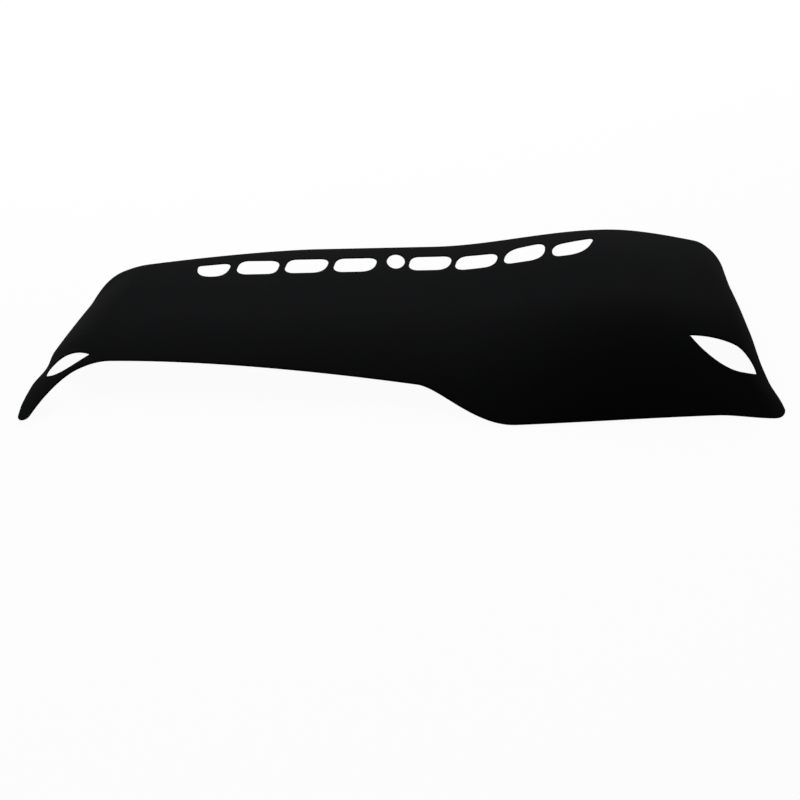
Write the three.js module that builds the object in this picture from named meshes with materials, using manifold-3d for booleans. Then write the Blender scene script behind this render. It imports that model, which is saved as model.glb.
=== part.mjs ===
// Dashboard cover mat: one sheet of black needled felt, pressed to the form of a dashboard's top, lying free.
// Units are mm. +X runs along the mat, +Y towards the windscreen and +Z up, with the mat resting on z = 0.
import * as THREE from 'three';
import { mergeVertices } from 'three/addons/utils/BufferGeometryUtils.js';
import initManifold from 'manifold-3d';

// Sheet and overall plan
const width = 1436;
const depth = 485;
const thickness = 3.2;

// Form of the sheet, as heights of its underside above the ground
const crestHeight = 50;
const crestFront = 28;
const crestRear = 98;
const rearDrop = 8;
const hoodRise = 40;
const hoodInset = 276;
const hoodHalfWidth = 360;
const hoodRearLoss = 0.1;
const leftRollWidth = 90;
const rightRollWidth = 62;
const rollPower = 1.8;
const leftCornerLift = 0.65;
const leftLiftStart = 114;
const rightCornerLift = 0.35;
const rightLiftStart = 120;

// Side edges: the left one leans in towards the windscreen, the right one is almost straight
const sweepPower = 1.5;
const leftLean = 126;
const leftLeanPower = 1.33;
const leftLeanStart = -165;
const leftLeanLength = 405;
const leftWaist = 7;
const leftWaistY = -65;
const leftWaistReach = 48;
const rightInset = 8;
const rightFlareStart = -150;
const rightFlareLength = 68;
const rightWaist = 3;
const rightWaistY = -105;
const rightWaistReach = 91;
const rightTaper = 12.5;
const rightTaperStart = 51;
const rightTaperLength = 210;

// Rear edge and its corners
const rearLeftSweep = 60;
const rearLeftSweepReach = 544;
const rearLeftSweepLength = 417;
const rearRightSweep = 38;
const rearRightSweepReach = 249;
const rearRightSweepLength = 249;
const rearLeftRounding = 50;
const rearRightRounding = 20;

// Front edge: the ear at the left, the shallow passenger side, a bend, and the long lip before the driver.
// A reach is how far a curve's handle lies from its end, and a rise or fall is how far it lies off it.
const earTipRadius = 13;
const earTipRise = 54;
const earTipTurn = 2.71;
const earReach = 38;
const earNeckInset = 160;
const earNeckReach = 64;
const passengerDepth = 330;
const passengerEdgeFall = 70;
const passengerBow = 4;
const passengerBowShare = 0.38;
const bendLength = 177;
const bendStartReach = 42;
const bendStartFall = 9;
const bendEndReach = 78;
const lipLength = 489;
const lipCrestInset = 104;
const lipCrestRise = 7.5;
const lipStartReach = 40;
const lipCrestReach = 40;
const lipEndReach = 28;
const lipCornerRadius = 22;

// Demister slots, in a row along the rear edge. A slot leans to the right: its front-right corner is drawn in
// by frontLean and its rear-left one by rearLean. Its corners are rounded in turn from the front-left one.
const slotRearMargin = 37;
const plainSlot = {
  length: 100,
  depth: 51,
  setback: 0,
  rearTilt: 0,
  frontLean: 12,
  rearLean: 12,
  roundings: [27, 27, 24, 17],
};
const leftEndSlot = {
  length: 74,
  depth: 49,
  setback: 8,
  rearTilt: 9,
  frontLean: 13,
  rearLean: 2,
  roundings: [32, 25, 23, 6],
};
const lensSlot = {
  ...plainSlot,
  length: 98,
  depth: 49,
  setback: 3,
  rearTilt: -2,
  frontLean: 10,
  roundings: [31, 18, 26, 18],
};
const levelSlot = {
  ...plainSlot,
  depth: 47,
  setback: 9,
  rearTilt: -4,
  rearLean: 16,
  roundings: [26, 25, 22, 22],
};
const risingSlot = {
  ...plainSlot,
  length: 96,
  depth: 61,
  setback: -6,
  rearTilt: 10,
  roundings: [19, 32, 25, 32],
};
const rightEndSlot = {
  length: 97,
  depth: 58,
  setback: -4,
  rearTilt: 14,
  frontLean: 30,
  rearLean: 5,
  roundings: [18, 39, 16, 26],
};
const slotPitch = 102;
const leftSlotOffset = 86;
const leftEndSlotPitch = 90;
const rightSlotOffset = 72;
const rightFirstPitch = 96;

// The sensor's hole, in a gap of the row
const sensorX = 0;
const sensorWidth = 38;
const sensorDepth = 54;
const sensorRearMargin = 53;

// Leaf-shaped openings over the side vents, each placed by its outer tip. Both arcs have a handle near the
// outer tip and one near the inner tip, each given as a share of the leaf's length and a distance across it.
const leftLeaf = {
  margin: 40,
  tipY: -105,
  length: 89,
  turn: 0.39,
  frontOuter: [0.17, 24],
  frontInner: [0.53, 14],
  rearInner: [0.57, 38],
  rearOuter: [0.12, 48],
};
const rightLeaf = {
  margin: 40,
  tipY: -152,
  length: 140,
  turn: 0.52,
  frontOuter: [0.24, 46],
  frontInner: [0.81, 18],
  rearInner: [0.54, 44],
  rearOuter: [0.11, 40],
};

// How finely the sheet is divided
const leftRollColumns = 6;
const middleColumns = 36;
const rightRollColumns = 5;
const frontRows = 11;
const crestRows = 3;
const rearRows = 6;
const sideSamples = 14;
const rearSamples = 42;
const curveSegments = 7;
const blankMargin = 14;
const weldDistance = 1e-4;

const halfWidth = width / 2;
const halfDepth = depth / 2;
const passengerEdgeY = halfDepth - passengerDepth;
const hoodX = halfWidth - hoodInset;
const earNeckX = earNeckInset - halfWidth;
const lipEndX = halfWidth - lipCornerRadius;
const bendEndX = lipEndX - lipLength;
const bendStartX = bendEndX - bendLength;

function ease(t) {
  const s = Math.min(1, Math.max(0, t));
  return s * s * (3 - 2 * s);
}

// A curve that leaves a straight line slowly: nothing before its start, and the full drop at its length.
function sweep(distance, length, drop, power = sweepPower) {
  return drop * Math.pow(Math.max(0, distance / length), power);
}

// How far an edge is drawn in beside a leaf opening, at most at its middle and nothing past its reach.
function waistDepth(y, middle, reach, most) {
  return most * ease(1 - Math.abs(y - middle) / reach);
}

function leftEdgeX(y) {
  const waist = waistDepth(y, leftWaistY, leftWaistReach, leftWaist);
  return waist - halfWidth + sweep(y - leftLeanStart, leftLeanLength, leftLean, leftLeanPower);
}

function rightEdgeX(y) {
  const flare = 1 - ease((rightFlareStart - y) / rightFlareLength);
  const waist = waistDepth(y, rightWaistY, rightWaistReach, rightWaist);
  return halfWidth - rightInset * flare - waist - sweep(y - rightTaperStart, rightTaperLength, rightTaper);
}

function rearEdgeY(x) {
  const left = sweep(rearLeftSweepReach - halfWidth - x, rearLeftSweepLength, rearLeftSweep);
  const right = sweep(x - halfWidth + rearRightSweepReach, rearRightSweepLength, rearRightSweep);
  return halfDepth - left - right;
}

// Share of the height that is left beside an edge where the sheet rolls down to the ground.
function rollShare(distance, rollWidth, cornerLift, liftStart, y) {
  const lift = cornerLift * ease((y - liftStart) / (halfDepth - liftStart));
  return 1 - (1 - lift) * Math.pow(Math.max(0, 1 - distance / rollWidth), rollPower);
}

// The underside is a barrel from the front lip to the rear edge, raised by the hood over the instruments.
function undersideZ(x, y) {
  const rear = Math.max(0, (y - crestRear) / (halfDepth - crestRear));
  const front = Math.max(0, (crestFront - y) / (crestFront + halfDepth));
  const hood = hoodRise * ease(1 - Math.abs(x - hoodX) / hoodHalfWidth) * (1 - hoodRearLoss * rear * rear);
  const barrel = (crestHeight + hood) * (1 - front * front) - rearDrop * rear * rear;
  const left = rollShare(x - leftEdgeX(y), leftRollWidth, leftCornerLift, leftLiftStart, y);
  const right = rollShare(rightEdgeX(y) - x, rightRollWidth, rightCornerLift, rightLiftStart, y);
  return barrel * left * right;
}

// The felt keeps its thickness square to its surface, so it stands taller where the surface is steep.
function topsideZ(x, y) {
  const step = 0.5;
  const slopeX = (undersideZ(x + step, y) - undersideZ(x - step, y)) / (2 * step);
  const slopeY = (undersideZ(x, y + step) - undersideZ(x, y - step)) / (2 * step);
  return undersideZ(x, y) + thickness * Math.hypot(1, slopeX, slopeY);
}

function spaced(from, to, count) {
  return Array.from({ length: count }, (_, i) => from + ((to - from) * i) / count);
}

function columnsAt(y) {
  const left = leftEdgeX(y);
  const right = rightEdgeX(y);
  return [
    left - blankMargin,
    ...spaced(left, left + leftRollWidth, leftRollColumns),
    ...spaced(left + leftRollWidth, right - rightRollWidth, middleColumns),
    ...spaced(right - rightRollWidth, right, rightRollColumns),
    right,
    right + blankMargin,
  ];
}

// The blank is the formed sheet before it is trimmed: a closed slab whose columns follow the side edges.
function blankGeometry() {
  const rows = [
    ...spaced(-halfDepth - blankMargin, crestFront, frontRows),
    ...spaced(crestFront, crestRear, crestRows),
    ...spaced(crestRear, halfDepth, rearRows),
    halfDepth + blankMargin,
  ];
  const columnCount = columnsAt(0).length;
  const layer = rows.length * columnCount;
  const positions = [];
  for (const heightAt of [undersideZ, topsideZ]) {
    for (const y of rows) {
      for (const x of columnsAt(y)) positions.push(x, y, heightAt(x, y));
    }
  }
  const indices = [];
  const quad = (a, b, c, d) => indices.push(a, b, c, a, c, d);
  for (let r = 0; r < rows.length - 1; r += 1) {
    for (let c = 0; c < columnCount - 1; c += 1) {
      const a = r * columnCount + c;
      const d = a + columnCount;
      quad(a, d, d + 1, a + 1);
      quad(layer + a, layer + a + 1, layer + d + 1, layer + d);
    }
  }
  for (let c = 0; c < columnCount - 1; c += 1) {
    const rear = layer - columnCount + c;
    quad(c, c + 1, layer + c + 1, layer + c);
    quad(rear + 1, rear, layer + rear, layer + rear + 1);
  }
  for (let r = 0; r < rows.length - 1; r += 1) {
    const left = r * columnCount;
    const right = left + columnCount - 1;
    quad(left + columnCount, left, layer + left, layer + left + columnCount);
    quad(right, right + columnCount, layer + right + columnCount, layer + right);
  }
  const geometry = new THREE.BufferGeometry();
  geometry.setAttribute('position', new THREE.Float32BufferAttribute(positions, 3));
  geometry.setIndex(indices);
  return geometry;
}

// The ear's round tip, and the front edge from it to the lip's end.
function drawFrontEdge(shape) {
  const frontY = -halfDepth;
  const earX = earTipRadius - halfWidth;
  const earY = frontY + earTipRise;
  const earEnd = Math.PI + earTipTurn;
  shape.moveTo(-halfWidth, earY);
  shape.absarc(earX, earY, earTipRadius, Math.PI, earEnd, false);
  shape.bezierCurveTo(
    earX + earTipRadius * Math.cos(earEnd) - earReach * Math.sin(earEnd),
    earY + earTipRadius * Math.sin(earEnd) + earReach * Math.cos(earEnd),
    earNeckX - earNeckReach,
    passengerEdgeY,
    earNeckX,
    passengerEdgeY,
  );
  const bowX = earNeckX + passengerBowShare * (bendStartX - earNeckX);
  const bendStartY = passengerEdgeY - passengerEdgeFall;
  shape.quadraticCurveTo(bowX, passengerEdgeY - passengerBow, bendStartX, bendStartY);
  shape.bezierCurveTo(
    bendStartX + bendStartReach,
    bendStartY - bendStartFall,
    bendEndX - bendEndReach,
    frontY,
    bendEndX,
    frontY,
  );
  const crestX = lipEndX - lipCrestInset;
  const crestY = frontY + lipCrestRise;
  shape.bezierCurveTo(bendEndX + lipStartReach, frontY, crestX - lipCrestReach, crestY, crestX, crestY);
  shape.bezierCurveTo(crestX + lipEndReach, crestY, lipEndX - lipEndReach, frontY, lipEndX, frontY);
}

// The outline runs from the ear's tip along the front edge, up the right side, and back along the rear edge.
function outlineShape() {
  const shape = new THREE.Shape();
  drawFrontEdge(shape);
  const cornerY = lipCornerRadius - halfDepth;
  shape.absarc(lipEndX, cornerY, lipCornerRadius, -Math.PI / 2, 0, false);

  const rightCornerY = rearEdgeY(halfWidth - rightInset);
  for (const y of spaced(cornerY, rightCornerY - rearRightRounding, sideSamples).slice(1)) {
    shape.lineTo(rightEdgeX(y), y);
  }
  const rightCornerX = rightEdgeX(rightCornerY);
  const rearStartX = rightCornerX - rearRightRounding;
  shape.lineTo(rightEdgeX(rightCornerY - rearRightRounding), rightCornerY - rearRightRounding);
  shape.quadraticCurveTo(rightCornerX, rightCornerY, rearStartX, rearEdgeY(rearStartX));

  const leftCornerY = rearEdgeY(-halfWidth + leftLean);
  const leftCornerX = leftEdgeX(leftCornerY);
  const rearEndX = leftCornerX + rearLeftRounding;
  for (const x of spaced(rearStartX, rearEndX, rearSamples).slice(1)) {
    shape.lineTo(x, rearEdgeY(x));
  }
  shape.lineTo(rearEndX, rearEdgeY(rearEndX));
  const sideStartY = leftCornerY - rearLeftRounding;
  shape.quadraticCurveTo(leftCornerX, leftCornerY, leftEdgeX(sideStartY), sideStartY);
  for (const y of spaced(sideStartY, earTipRise - halfDepth, sideSamples).slice(1)) {
    shape.lineTo(leftEdgeX(y), y);
  }
  shape.closePath();
  return shape;
}

// A closed path round the corners given, each one rounded from its own distance.
function roundedPath(corners, roundings) {
  const path = new THREE.Path();
  corners.forEach((corner, i) => {
    const before = corners[(i + corners.length - 1) % corners.length];
    const after = corners[(i + 1) % corners.length];
    const start = before.clone().sub(corner).setLength(roundings[i]).add(corner);
    const end = after.clone().sub(corner).setLength(roundings[i]).add(corner);
    if (i === 0) {
      path.moveTo(start.x, start.y);
    } else {
      path.lineTo(start.x, start.y);
    }
    path.quadraticCurveTo(corner.x, corner.y, end.x, end.y);
  });
  path.closePath();
  return path;
}

function slotPath(centreX, slot) {
  const rearY = halfDepth - slotRearMargin - slot.setback;
  const frontY = rearY - slot.depth;
  const leftX = centreX - slot.length / 2;
  const rightX = centreX + slot.length / 2;
  const corners = [
    new THREE.Vector2(leftX, frontY),
    new THREE.Vector2(rightX - slot.frontLean, frontY),
    new THREE.Vector2(rightX, rearY),
    new THREE.Vector2(leftX + slot.rearLean, rearY - slot.rearTilt),
  ];
  return roundedPath(corners, slot.roundings);
}

function slotPaths() {
  const leftX = sensorX - leftSlotOffset;
  const lensX = leftX - 2 * slotPitch;
  const rightX = sensorX + rightSlotOffset;
  const levelX = rightX + rightFirstPitch;
  return [
    slotPath(lensX - leftEndSlotPitch, leftEndSlot),
    slotPath(lensX, lensSlot),
    slotPath(leftX - slotPitch, plainSlot),
    slotPath(leftX, plainSlot),
    slotPath(rightX, plainSlot),
    slotPath(levelX, levelSlot),
    slotPath(levelX + slotPitch, risingSlot),
    slotPath(levelX + 2 * slotPitch, rightEndSlot),
  ];
}

function sensorPath() {
  const path = new THREE.Path();
  const middleY = halfDepth - sensorRearMargin;
  path.absellipse(sensorX, middleY, sensorWidth / 2, sensorDepth / 2, 0, 2 * Math.PI, false);
  return path;
}

// A leaf has two pointed tips with an arc on each side. Side is -1 at the left of the mat and 1 at the right.
function leafPath(side, leaf) {
  const tip = new THREE.Vector2(side * (halfWidth - leaf.margin), leaf.tipY);
  const along = new THREE.Vector2(-side * Math.cos(leaf.turn), Math.sin(leaf.turn));
  const across = new THREE.Vector2(side * Math.sin(leaf.turn), Math.cos(leaf.turn));
  const place = (share, offset) => tip.clone()
    .addScaledVector(along, share * leaf.length)
    .addScaledVector(across, offset);
  const path = new THREE.Path();
  const arc = (from, to, end) => path.bezierCurveTo(from.x, from.y, to.x, to.y, end.x, end.y);
  const inFront = ([share, distance]) => place(share, -distance);
  const behind = ([share, distance]) => place(share, distance);
  path.moveTo(tip.x, tip.y);
  arc(inFront(leaf.frontOuter), inFront(leaf.frontInner), place(1, 0));
  arc(behind(leaf.rearInner), behind(leaf.rearOuter), tip);
  return path;
}

function trimGeometry() {
  const shape = outlineShape();
  shape.holes = [...slotPaths(), sensorPath(), leafPath(-1, leftLeaf), leafPath(1, rightLeaf)];
  const reach = 4 * (crestHeight + hoodRise);
  const geometry = new THREE.ExtrudeGeometry(shape, { depth: reach, bevelEnabled: false, curveSegments });
  return geometry.translate(0, 0, -reach / 2);
}

const wasm = await initManifold();
wasm.setup();

function toSolid(geometry) {
  geometry.deleteAttribute('normal');
  geometry.deleteAttribute('uv');
  const merged = mergeVertices(geometry, weldDistance);
  return new wasm.Manifold(new wasm.Mesh({
    numProp: 3,
    vertProperties: new Float32Array(merged.attributes.position.array),
    triVerts: new Uint32Array(merged.index.array),
  }));
}

function toGeometry(solid) {
  const mesh = solid.getMesh();
  const geometry = new THREE.BufferGeometry();
  geometry.setAttribute('position', new THREE.BufferAttribute(mesh.vertProperties, 3));
  geometry.setIndex(new THREE.BufferAttribute(mesh.triVerts, 1));
  return geometry;
}

// Trimming the formed sheet to its outline leaves one piece, which is set down on the ground.
function matGeometry() {
  const geometry = toGeometry(toSolid(blankGeometry()).intersect(toSolid(trimGeometry())));
  geometry.computeBoundingBox();
  const { min, max } = geometry.boundingBox;
  geometry.translate(-(min.x + max.x) / 2, -(min.y + max.y) / 2, -min.z);
  geometry.computeVertexNormals();
  return geometry;
}

const felt = new THREE.MeshStandardMaterial({ color: '#191b1a', roughness: 0.95, metalness: 0 });
const mat = new THREE.Mesh(matGeometry(), felt);
mat.name = 'dashboard_mat';

const dashboardCover = new THREE.Group();
dashboardCover.add(mat);

export default dashboardCover;
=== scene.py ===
import math

import bpy
import numpy as np
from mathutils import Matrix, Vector, kdtree
from mathutils.geometry import delaunay_2d_cdt


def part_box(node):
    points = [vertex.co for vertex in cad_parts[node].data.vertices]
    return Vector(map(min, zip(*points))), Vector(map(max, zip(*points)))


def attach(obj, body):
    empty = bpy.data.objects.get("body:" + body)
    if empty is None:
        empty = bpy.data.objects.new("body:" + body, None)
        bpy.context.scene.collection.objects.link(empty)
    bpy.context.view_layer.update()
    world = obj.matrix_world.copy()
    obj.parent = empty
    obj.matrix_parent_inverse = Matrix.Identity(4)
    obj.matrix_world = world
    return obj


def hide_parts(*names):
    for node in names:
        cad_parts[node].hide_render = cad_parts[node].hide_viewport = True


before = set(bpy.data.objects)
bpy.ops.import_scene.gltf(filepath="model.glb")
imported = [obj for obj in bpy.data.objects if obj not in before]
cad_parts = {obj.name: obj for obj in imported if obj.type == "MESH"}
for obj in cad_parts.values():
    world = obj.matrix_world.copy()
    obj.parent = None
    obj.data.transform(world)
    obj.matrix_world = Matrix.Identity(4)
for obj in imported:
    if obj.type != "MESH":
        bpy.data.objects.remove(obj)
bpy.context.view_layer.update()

# Camera
# A 45 mm lens on a 36 mm sensor looks down at the mat from the seats, nearly square to the windscreen.
camera_place = (-0.0498, -1.4882, 1.3659)
camera_pitch = 46.0
camera_azimuth = -2.0
bpy.ops.object.camera_add(location=camera_place)
camera = bpy.context.active_object
camera.rotation_euler = (math.radians(90 - camera_pitch), 0, math.radians(camera_azimuth))
camera.data.lens = 45
camera.data.sensor_width = 36
bpy.context.scene.camera = camera

# Felt mat
# The real piece is one sheet of needle-punched polyester felt, dyed black in the fibre, about 3 mm thick. It
# was die-cut with its openings and pressed warm over a form, so it keeps the dashboard's shape when it lies
# free. The cutting tool squeezes the rim, which is thinner and rounder than the rest of the sheet.
low, high = (np.array(corner) * 1000 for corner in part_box("dashboard_mat"))
half_width = (high[0] - low[0]) / 2
half_depth = (high[1] - low[1]) / 2
thickness = 3.2

crest_height = 50.8
crest_front = 28
crest_rear = 98
rear_drop = 8
hood_rise = 40
hood_inset = 276
hood_half_width = 360
hood_rear_loss = 0.1
left_roll_width = 90
right_roll_width = 62
roll_power = 1.8
left_corner_lift = 0.65
left_lift_start = 114
right_corner_lift = 0.35
right_lift_start = 120

sweep_power = 1.5
left_lean = 126
left_lean_power = 1.33
left_lean_start = -165
left_lean_length = 405
left_waist = (-65, 48, 7)
right_waist = (-105, 91, 3)
right_inset = 8
right_flare_start = -150
right_flare_length = 68
right_taper = 12.5
right_taper_start = 51
right_taper_length = 210


def ease(t):
    t = np.clip(t, 0, 1)
    return t * t * (3 - 2 * t)


def sweep(distance, length, drop, power=sweep_power):
    return drop * np.clip(distance / length, 0, None) ** power


def waist_depth(y, middle, reach, most):
    return most * ease(1 - abs(y - middle) / reach)


def left_edge_x(y):
    lean = sweep(y - left_lean_start, left_lean_length, left_lean, left_lean_power)
    return waist_depth(y, *left_waist) - half_width + lean


def right_edge_x(y):
    flare = 1 - ease((right_flare_start - y) / right_flare_length)
    taper = sweep(y - right_taper_start, right_taper_length, right_taper)
    return half_width - right_inset * flare - waist_depth(y, *right_waist) - taper


def roll_share(distance, roll_width, corner_lift, lift_start, y):
    lift = corner_lift * ease((y - lift_start) / (half_depth - lift_start))
    return 1 - (1 - lift) * np.clip(1 - distance / roll_width, 0, None) ** roll_power


def underside_z(x, y):
    rear = np.clip((y - crest_rear) / (half_depth - crest_rear), 0, None)
    front = np.clip((crest_front - y) / (crest_front + half_depth), 0, None)
    hood_x = half_width - hood_inset
    hood = hood_rise * ease(1 - abs(x - hood_x) / hood_half_width) * (1 - hood_rear_loss * rear**2)
    barrel = (crest_height + hood) * (1 - front**2) - rear_drop * rear**2
    left = roll_share(x - left_edge_x(y), left_roll_width, left_corner_lift, left_lift_start, y)
    right = roll_share(right_edge_x(y) - x, right_roll_width, right_corner_lift, right_lift_start, y)
    return np.clip(barrel * left * right, 0, None)


rear_left_sweep = (544, 417, 60)
rear_right_sweep = (249, 249, 38)
rear_left_rounding = 50
rear_right_rounding = 20
ear_tip_radius = 13
ear_tip_rise = 54
ear_tip_turn = 2.71
ear_reach = 38
ear_neck_inset = 160
ear_neck_reach = 64
passenger_depth = 330
passenger_edge_fall = 70
passenger_bow = 4
passenger_bow_share = 0.38
bend_length = 177
bend_start_reach = 42
bend_start_fall = 9
bend_end_reach = 78
lip_length = 489
lip_crest_inset = 104
lip_crest_rise = 7.5
lip_start_reach = 40
lip_crest_reach = 40
lip_end_reach = 28
lip_corner_radius = 22
outline_step = 3.0
least_step = 0.2
side_samples = 60
rear_samples = 120


def rear_edge_y(x):
    reach, length, drop = rear_left_sweep
    left = sweep(reach - half_width - x, length, drop)
    reach, length, drop = rear_right_sweep
    return half_depth - left - sweep(x - half_width + reach, length, drop)


def bezier(*points, count=24):
    points = [np.array(p, float) for p in points]
    t = np.linspace(0, 1, count)[:, None]
    degree = len(points) - 1
    return sum(math.comb(degree, i) * t**i * (1 - t) ** (degree - i) * p for i, p in enumerate(points))


def arc(centre, radius, start, end, count=14):
    t = np.linspace(start, end, count)
    return np.stack([centre[0] + radius * np.cos(t), centre[1] + radius * np.sin(t)], 1)


def even_steps(curve, step):
    """Points along a curve at about even steps, with both of its ends kept."""
    run = np.concatenate([[0], np.cumsum(np.linalg.norm(np.diff(curve, axis=0), axis=1))])
    places = np.linspace(0, run[-1], max(2, round(run[-1] / step) + 1))
    return np.stack([np.interp(places, run, curve[:, k]) for k in (0, 1)], 1)


def closed_loop(curves, step):
    """One closed loop from curves that follow each other, with no point twice."""
    points = np.concatenate([even_steps(np.array(c, float), step) for c in curves])
    gap = np.linalg.norm(points - np.roll(points, 1, axis=0), axis=1)
    return points[gap > least_step]


def outline_loop():
    lip_end_x = half_width - lip_corner_radius
    bend_end_x = lip_end_x - lip_length
    bend_start_x = bend_end_x - bend_length
    neck_x = ear_neck_inset - half_width
    edge_y = half_depth - passenger_depth
    bend_y = edge_y - passenger_edge_fall
    front = -half_depth
    tip_end = math.pi + ear_tip_turn
    tip = arc((ear_tip_radius - half_width, front + ear_tip_rise), ear_tip_radius, math.pi, tip_end)
    tip_way = np.array([-math.sin(tip_end), math.cos(tip_end)])
    neck = bezier(tip[-1], tip[-1] + ear_reach * tip_way, (neck_x - ear_neck_reach, edge_y), (neck_x, edge_y))
    bow_x = neck_x + passenger_bow_share * (bend_start_x - neck_x)
    passenger = bezier((neck_x, edge_y), (bow_x, edge_y - passenger_bow), (bend_start_x, bend_y))
    bend = bezier(
        (bend_start_x, bend_y),
        (bend_start_x + bend_start_reach, bend_y - bend_start_fall),
        (bend_end_x - bend_end_reach, front),
        (bend_end_x, front),
    )
    crest_x = lip_end_x - lip_crest_inset
    crest_y = front + lip_crest_rise
    lip_start = bezier(
        (bend_end_x, front),
        (bend_end_x + lip_start_reach, front),
        (crest_x - lip_crest_reach, crest_y),
        (crest_x, crest_y),
    )
    lip_end = bezier(
        (crest_x, crest_y),
        (crest_x + lip_end_reach, crest_y),
        (lip_end_x - lip_end_reach, front),
        (lip_end_x, front),
    )
    corner = arc((lip_end_x, front + lip_corner_radius), lip_corner_radius, -math.pi / 2, 0)
    right_y = rear_edge_y(half_width - right_inset)
    y = np.linspace(front + lip_corner_radius, right_y - rear_right_rounding, side_samples)
    right = np.stack([right_edge_x(y), y], 1)
    rear_start = right_edge_x(right_y) - rear_right_rounding
    rear_right = bezier(right[-1], (right_edge_x(right_y), right_y), (rear_start, rear_edge_y(rear_start)))
    left_y = rear_edge_y(left_lean - half_width)
    rear_end = left_edge_x(left_y) + rear_left_rounding
    x = np.linspace(rear_start, rear_end, rear_samples)
    rear = np.stack([x, rear_edge_y(x)], 1)
    side_y = left_y - rear_left_rounding
    rear_left = bezier(rear[-1], (left_edge_x(left_y), left_y), (left_edge_x(side_y), side_y))
    y = np.linspace(side_y, ear_tip_rise - half_depth, side_samples)
    left = np.stack([left_edge_x(y), y], 1)
    front_edge = [tip, neck, passenger, bend, lip_start, lip_end, corner]
    return closed_loop(front_edge + [right, rear_right, rear, rear_left, left], outline_step)


slot_rear_margin = 37
slot_pitch = 102
left_slot_offset = 86
left_end_slot_pitch = 90
right_slot_offset = 72
right_first_pitch = 96
sensor_size = (38, 54)
sensor_rear_margin = 53
opening_step = 2.0
arc_samples = 60
ring_samples = 80


def rounded_loop(corners, roundings):
    """A loop with a curve at each corner, which starts and ends a rounding's length away from it."""
    corners = np.array(corners, float)
    curves = []
    for i, corner in enumerate(corners):
        before = corners[i - 1] - corner
        after = corners[(i + 1) % len(corners)] - corner
        start = corner + before / np.linalg.norm(before) * roundings[i]
        end = corner + after / np.linalg.norm(after) * roundings[i]
        if curves:
            curves.append([curves[-1][-1], start])
        curves.append(bezier(start, corner, end))
    curves.append([curves[-1][-1], curves[0][0]])
    return closed_loop(curves, opening_step)


def slot_loop(
    centre_x,
    length=100,
    depth=51,
    setback=0,
    rear_tilt=0,
    front_lean=12,
    rear_lean=12,
    roundings=(27, 27, 24, 17),
):
    """A slot with its front-right and rear-left corners drawn in. Its roundings start at the front left."""
    rear_y = half_depth - slot_rear_margin - setback
    front_y = rear_y - depth
    left_x = centre_x - length / 2
    right_x = centre_x + length / 2
    corners = [
        (left_x, front_y),
        (right_x - front_lean, front_y),
        (right_x, rear_y),
        (left_x + rear_lean, rear_y - rear_tilt),
    ]
    return rounded_loop(corners, roundings)


def leaf_loop(side, margin, tip_y, length, turn, front_outer, front_inner, rear_inner, rear_outer):
    """A leaf with two pointed tips. Each handle is a share of the leaf's length and a distance across it."""
    tip = np.array([side * (half_width - margin), tip_y])
    along = np.array([-side * math.cos(turn), math.sin(turn)])
    across = np.array([side * math.sin(turn), math.cos(turn)])

    def place(share, offset):
        return tip + along * share * length + across * offset

    def in_front(share, offset):
        return place(share, -offset)

    far = place(1, 0)
    front = bezier(tip, in_front(*front_outer), in_front(*front_inner), far, count=arc_samples)
    rear = bezier(far, place(*rear_inner), place(*rear_outer), tip, count=arc_samples)
    return closed_loop([front, rear], opening_step)


def opening_loops():
    left_x = -left_slot_offset
    lens_x = left_x - 2 * slot_pitch
    level_x = right_slot_offset + right_first_pitch
    angle = np.linspace(0, 2 * math.pi, ring_samples)
    sensor_y = half_depth - sensor_rear_margin
    across, deep = sensor_size
    sensor = np.stack([across / 2 * np.cos(angle), sensor_y + deep / 2 * np.sin(angle)], 1)
    return [
        slot_loop(lens_x - left_end_slot_pitch, 74, 49, 8, 9, 13, 2, (32, 25, 23, 6)),
        slot_loop(lens_x, 98, 49, 3, -2, 10, roundings=(31, 18, 26, 18)),
        slot_loop(left_x - slot_pitch),
        slot_loop(left_x),
        closed_loop([sensor], opening_step),
        slot_loop(right_slot_offset),
        slot_loop(level_x, depth=47, setback=9, rear_tilt=-4, rear_lean=16, roundings=(26, 25, 22, 22)),
        slot_loop(level_x + slot_pitch, 96, 61, -6, 10, roundings=(19, 32, 25, 32)),
        slot_loop(level_x + 2 * slot_pitch, 97, 58, -4, 14, 30, 5, (18, 39, 16, 26)),
        leaf_loop(-1, 40, -105, 89, 0.39, (0.17, 24), (0.53, 14), (0.57, 38), (0.12, 48)),
        leaf_loop(1, 40, -152, 140, 0.52, (0.24, 46), (0.81, 18), (0.54, 44), (0.11, 40)),
    ]


# The rim's section: the way in from the cut, and how far the top is lowered and the bottom raised there
rim_section = [
    (0.0, 0.45, 0.25),
    (0.3, 0.25, 0.08),
    (0.8, 0.16, 0.0),
    (1.8, 0.1, 0.0),
    (3.2, 0.04, 0.0),
    (5.0, 0.0, 0.0),
]
sheet_step = 5.6
merge_distance = 1e-6


def turned(loop, side):
    """A loop that runs counter-clockwise for side 1 and clockwise for side -1."""
    after = np.roll(loop, -1, axis=0)
    area = np.sum(loop[:, 0] * after[:, 1] - after[:, 0] * loop[:, 1])
    return loop if area * side > 0 else loop[::-1]


def moved_in(loop, distance):
    """A loop moved sideways into the felt: to its left, as the outline runs."""
    before = loop - np.roll(loop, 1, axis=0)
    after = np.roll(loop, -1, axis=0) - loop
    way = before / np.linalg.norm(before, axis=1)[:, None] + after / np.linalg.norm(after, axis=1)[:, None]
    way /= np.maximum(np.linalg.norm(way, axis=1), merge_distance)[:, None]
    return loop + distance * np.stack([-way[:, 1], way[:, 0]], 1)


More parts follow.
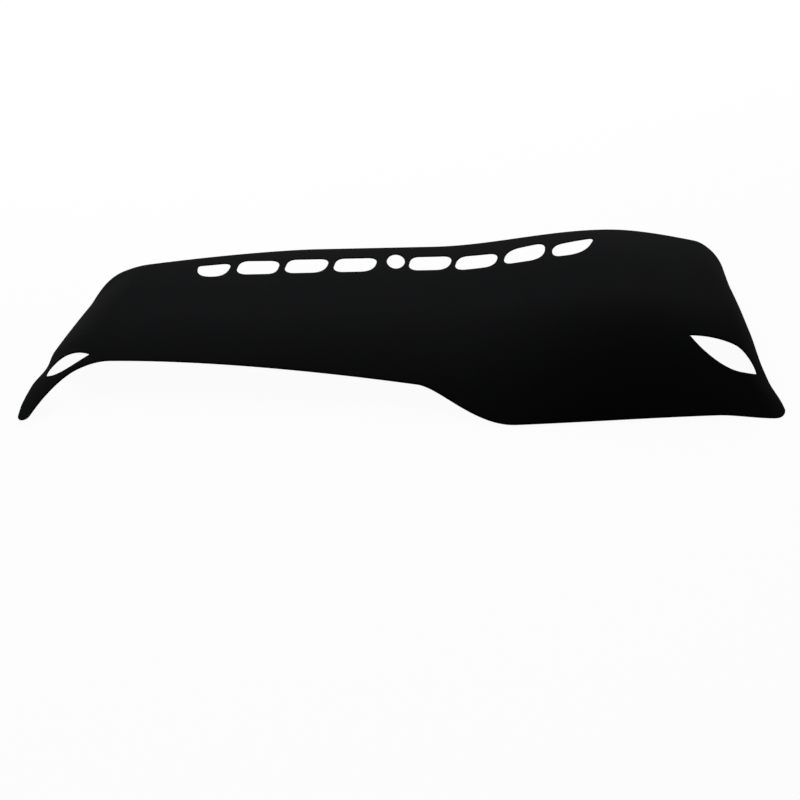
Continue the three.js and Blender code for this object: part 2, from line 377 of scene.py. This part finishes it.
def inside(points, loop):
    """Which points lie inside a closed loop, by counting the crossings of a ray along X."""
    result = np.zeros(len(points), bool)
    for a, b in zip(loop, np.roll(loop, -1, axis=0)):
        if a[1] == b[1]:
            continue
        level = (points[:, 1] >= min(a[1], b[1])) & (points[:, 1] < max(a[1], b[1]))
        x = a[0] + (points[:, 1] - a[1]) * (b[0] - a[0]) / (b[1] - a[1])
        result ^= level & (points[:, 0] < x)
    return result


def flat_net():
    """The mat's plan as triangles, each point's distance to the nearest cut, and the loops of the cuts."""
    outline = outline_loop()
    openings = opening_loops()
    loops = [turned(outline, 1)] + [turned(loop, -1) for loop in openings]
    points, edges, distance, cuts = [], [], [], []
    for loop in loops:
        for step_in, _, _ in rim_section:
            ring = moved_in(loop, step_in)
            first = len(points)
            points.extend(ring)
            distance.extend([step_in] * len(ring))
            edges.extend((first + i, first + (i + 1) % len(ring)) for i in range(len(ring)))
            if step_in == 0:
                cuts.append([first + i for i in range(len(ring))])
    cut_tree = kdtree.KDTree(sum(len(cut) for cut in cuts))
    for cut in cuts:
        for i in cut:
            cut_tree.insert((*points[i], 0), i)
    cut_tree.balance()
    row_gap = sheet_step * math.sqrt(3) / 2
    columns = np.arange(-half_width, half_width, sheet_step)
    rows = np.arange(-half_depth, half_depth, row_gap)
    grid = np.array([(x + sheet_step / 2 * (k % 2), y) for k, y in enumerate(rows) for x in columns])
    keep = inside(grid, outline)
    for loop in openings:
        keep &= ~inside(grid, loop)
    for p in grid[keep]:
        gap = cut_tree.find((*p, 0))[2]
        if gap > rim_section[-1][0] + sheet_step / 2:
            points.append(p)
            distance.append(gap)
    net = delaunay_2d_cdt([Vector(p) for p in points], edges, [], 0, merge_distance)
    places, triangles, origins = net[0], net[2], net[3]
    plan = np.array(places)
    reach = np.array([max(distance[i] for i in o) if o else 0.0 for o in origins])
    kept = [t for t in triangles if max(reach[i] for i in t) > 0]
    new_index = {o: i for i, group in enumerate(origins) for o in group}
    return plan, reach, kept, [[new_index[i] for i in cut] for cut in cuts]


def felt_mesh():
    """The sheet's upper and lower faces over the plan, joined by a wall along every cut."""
    plan, reach, triangles, cuts = flat_net()
    x, y = plan[:, 0], plan[:, 1]
    bottom = underside_z(x, y)
    nudge = 0.5
    slope_x = (underside_z(x + nudge, y) - underside_z(x - nudge, y)) / (2 * nudge)
    slope_y = (underside_z(x, y + nudge) - underside_z(x, y - nudge)) / (2 * nudge)
    stretch = np.sqrt(1 + slope_x**2 + slope_y**2)
    steps, top_drop, bottom_rise = (np.array(v) for v in zip(*rim_section))
    top = bottom + (thickness - np.interp(reach, steps, top_drop)) * stretch
    bottom = bottom + np.interp(reach, steps, bottom_rise) * stretch
    count = len(plan)
    verts = list(zip(x, y, top)) + list(zip(x, y, bottom))
    faces = [tuple(t) for t in triangles]
    faces += [tuple(count + i for i in reversed(t)) for t in triangles]
    for cut in cuts:
        for a, b in zip(cut, cut[1:] + cut[:1]):
            faces.append((a, count + a, count + b, b))
    mesh = bpy.data.meshes.new("felt_mat")
    mesh.from_pydata([Vector(v) / 1000 for v in verts], [], faces)
    from_cut = mesh.attributes.new("from_cut", "FLOAT", "POINT")
    from_cut.data.foreach_set("value", np.tile(reach, 2).astype(np.float32))
    return mesh


bpy.ops.object.select_all(action="DESELECT")
felt_mat = bpy.data.objects.new("felt_mat", felt_mesh())
bpy.context.scene.collection.objects.link(felt_mat)
bpy.context.view_layer.objects.active = felt_mat
felt_mat.select_set(True)
bpy.ops.object.mode_set(mode="EDIT")
bpy.ops.mesh.select_all(action="SELECT")
bpy.ops.mesh.delete_loose()
bpy.ops.mesh.select_all(action="SELECT")
bpy.ops.mesh.normals_make_consistent(inside=False)
bpy.ops.object.mode_set(mode="OBJECT")
bpy.ops.object.shade_smooth_by_angle(angle=math.radians(50))


def linear(code):
    """An sRGB hex colour as the linear colour that a shader takes."""
    parts = [int(code[i : i + 2], 16) / 255 for i in (1, 3, 5)]
    return [p / 12.92 if p <= 0.04045 else ((p + 0.055) / 1.055) ** 2.4 for p in parts] + [1]


def node(tree, kind, links=None, **values):
    """Adds a node of a kind, sets its properties and inputs by name, and links the inputs given."""
    made = tree.nodes.new(kind)
    for name, value in values.items():
        if name in made.inputs:
            made.inputs[name].default_value = value
        else:
            setattr(made, name, value)
    for name, source in (links or {}).items():
        tree.links.new(source, made.inputs[name])
    return made


# Needle-punched polyester felt, dyed black in the fibre: matt, with no weave. Its tufts are drawn about three
# times too coarse, because the real ones are finer than the picture's dots. The web is laid a little unevenly,
# which clouds the black over a hand's breadth. The colour is drawn darker within a few millimetres of each
# cut.
felt = bpy.data.materials.new("needled_polyester_felt")
felt.use_nodes = True
tree = felt.node_tree
shader = tree.nodes["Principled BSDF"]
shader.inputs["Roughness"].default_value = 0.95
shader.inputs["Specular IOR Level"].default_value = 0.06
shader.inputs["Sheen Weight"].default_value = 0.012
shader.inputs["Sheen Roughness"].default_value = 0.55
place = node(tree, "ShaderNodeTexCoord").outputs["Object"]
tuft_size = 1.6
cloud_size = 90.0
dark_rim_width = 2.5
tufts = node(tree, "ShaderNodeTexNoise", {"Vector": place}, Scale=1000 / tuft_size, Detail=3, Roughness=0.6)
clouds = node(tree, "ShaderNodeTexNoise", {"Vector": place}, Scale=1000 / cloud_size, Detail=2)
crowns = node(tree, "ShaderNodeMix", {"Factor": clouds.outputs["Fac"]}, data_type="RGBA")
crowns.inputs[6].default_value = linear("#151618")
crowns.inputs[7].default_value = linear("#1b1c1e")
shade = node(tree, "ShaderNodeMix", {"Factor": tufts.outputs["Fac"], 7: crowns.outputs[2]}, data_type="RGBA")
shade.inputs[6].default_value = linear("#101113")
# The felt's colour is drawn darker, down to #08090a, within a few millimetres of every cut.
from_cut = node(tree, "ShaderNodeAttribute", attribute_name="from_cut").outputs["Fac"]
rim_fade = node(tree, "ShaderNodeMapRange", {"Value": from_cut})
rim_fade.inputs["From Max"].default_value = dark_rim_width
rim_darkened = node(tree, "ShaderNodeMix", {"Factor": rim_fade.outputs[0], 7: shade.outputs[2]}, data_type="RGBA")
rim_darkened.inputs[6].default_value = linear("#08090a")
tree.links.new(rim_darkened.outputs[2], shader.inputs["Base Color"])
bump = node(tree, "ShaderNodeBump", {"Height": tufts.outputs["Fac"]}, Strength=0.35, Distance=0.0006)
tree.links.new(bump.outputs["Normal"], shader.inputs["Normal"])
felt_mat.data.materials.append(felt)

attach(felt_mat, "root")
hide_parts("dashboard_mat")

# Floor and light
# The photograph's ground is plain white. The floor shows white to the camera and keeps a faint shadow of the
# mat. The softboxes stand behind the mat, so its front falls into the dark.
glow_share = 0.85
bpy.ops.object.select_all(action="DESELECT")
bpy.ops.mesh.primitive_plane_add(size=30, location=(0, 0, -0.0005))
floor = bpy.context.active_object
floor.name = "floor"
paper = bpy.data.materials.new("white_paper")
paper.use_nodes = True
tree = paper.node_tree
tree.nodes.clear()
matt = node(tree, "ShaderNodeBsdfDiffuse", Color=linear("#b8b8b8"))
glow = node(tree, "ShaderNodeEmission", Strength=1.12)
seen = node(tree, "ShaderNodeLightPath").outputs["Is Camera Ray"]
share = node(tree, "ShaderNodeMath", {0: seen}, operation="MULTIPLY")
share.inputs[1].default_value = glow_share
sources = {"Fac": share.outputs[0], 1: matt.outputs[0], 2: glow.outputs[0]}
mixed = node(tree, "ShaderNodeMixShader", sources)
node(tree, "ShaderNodeOutputMaterial", {"Surface": mixed.outputs[0]})
floor.data.materials.append(paper)

world = bpy.data.worlds.new("studio")
world.use_nodes = True
bpy.context.scene.world = world
tree = world.node_tree
tree.nodes.clear()
seen = node(tree, "ShaderNodeLightPath").outputs["Is Camera Ray"]
room = node(tree, "ShaderNodeBackground", Color=(1, 1, 1, 1), Strength=0.105)
backdrop = node(tree, "ShaderNodeBackground", Color=(1, 1, 1, 1), Strength=1.0)
mixed = node(tree, "ShaderNodeMixShader", {"Fac": seen, 1: room.outputs[0], 2: backdrop.outputs[0]})
node(tree, "ShaderNodeOutputWorld", {"Surface": mixed.outputs[0]})

for name, place, size, power in [
    ("rear_softbox", (-1.1, 2.6, 1.8), 1.8, 53),
    ("low_rear_softbox", (-0.5, 3.2, 0.8), 1.2, 16),
    ("right_rear_softbox", (1.6, 2.8, 1.0), 1.2, 22),
]:
    bpy.ops.object.light_add(type="AREA", location=place)
    lamp = bpy.context.active_object
    lamp.name = name
    lamp.data.shape = "SQUARE"
    lamp.data.size = size
    lamp.data.energy = power
    lamp.rotation_euler = (Vector((0, 0, 0)) - Vector(place)).to_track_quat("-Z", "Y").to_euler()

bpy.context.scene.view_settings.view_transform = "Standard"
